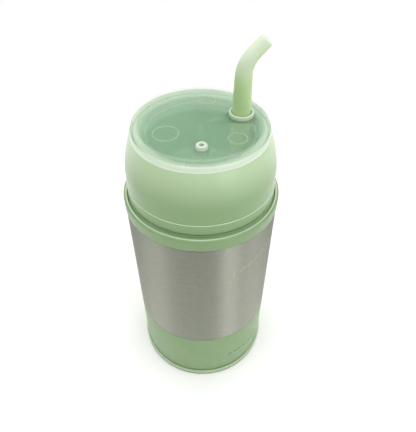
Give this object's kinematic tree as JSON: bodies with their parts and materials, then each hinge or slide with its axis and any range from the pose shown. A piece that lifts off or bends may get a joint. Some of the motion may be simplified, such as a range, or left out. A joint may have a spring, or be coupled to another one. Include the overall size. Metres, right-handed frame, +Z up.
{
  "type": "straw cup",
  "caption": "Insulated steel straw cup with a screw-on domed lid, a snack pot under a translucent press-on top lid, a vent and a bent soft spout.",
  "frame": {"origin": "middle of the foot ring on the surface that the cup stands on", "axes": "+Z up along the cup's axis, +X to the right with the straw on the +X side, -Y towards the front"},
  "size_m": [0.077, 0.077, 0.1966],
  "materials": {
    "sage_plastic": "satin",
    "brushed_steel": "brushed",
    "inner_steel": "electropolished",
    "clear_silicone": "translucent matte",
    "dome_plastic": "satin gloss",
    "seal_silicone": "matte",
    "pot_plastic": "satin gloss",
    "milky_plastic": "translucent satin",
    "spout_silicone": "soft satin",
    "straw_plastic": "translucent"
  },
  "bodies": {
    "cup": {"outer_shell": "brushed_steel", "inner_liner": "inner_steel", "bottom_plate": "brushed_steel", "vacuum_plug": "inner_steel", "base_sleeve": "sage_plastic", "foot_ring": "sage_plastic", "neck_collar": "sage_plastic"},
    "gasket": {"neck_gasket": "clear_silicone"},
    "lid": {"lid_base": "sage_plastic", "dome_shell": "dome_plastic", "dome_seal": "seal_silicone", "snack_pot": "pot_plastic", "straw_sleeve": "milky_plastic", "straw_seal": "clear_silicone", "vent_tube": "milky_plastic", "vent_valve": "clear_silicone"},
    "top_lid": {"top_lid": "milky_plastic", "lid_seal": "clear_silicone"},
    "straw": {"straw_connector": "straw_plastic", "lower_straw": "straw_plastic"},
    "spout": {"straw_spout": "spout_silicone"}
  },
  "joints": [
    {"name": "lid_rise", "type": "slide", "parent": "cup", "child": "gasket", "axis": [0, 0, 1], "range_m": [0, 0.0063]},
    {"name": "lid_turn", "type": "hinge", "parent": "gasket", "child": "lid", "pos_m": [0, 0, 0.12], "axis": [0, 0, 1], "range_deg": [0, 450]},
    {"name": "top_lid_lift", "type": "slide", "parent": "lid", "child": "top_lid", "axis": [0, 0, 1], "range_m": [0, 0.015]},
    {"name": "straw_pull", "type": "slide", "parent": "lid", "child": "straw", "axis": [0, 0, 1], "range_m": [0, 0.02]},
    {"name": "spout_turn", "type": "hinge", "parent": "straw", "child": "spout", "pos_m": [0.0181, 0.00468, 0.15], "axis": [0, 0, 1], "continuous": true}
  ],
  "couplings": [
    {"joint": "lid_rise", "follows": "lid_turn", "m_per_rad": 0.00079577}
  ]
}
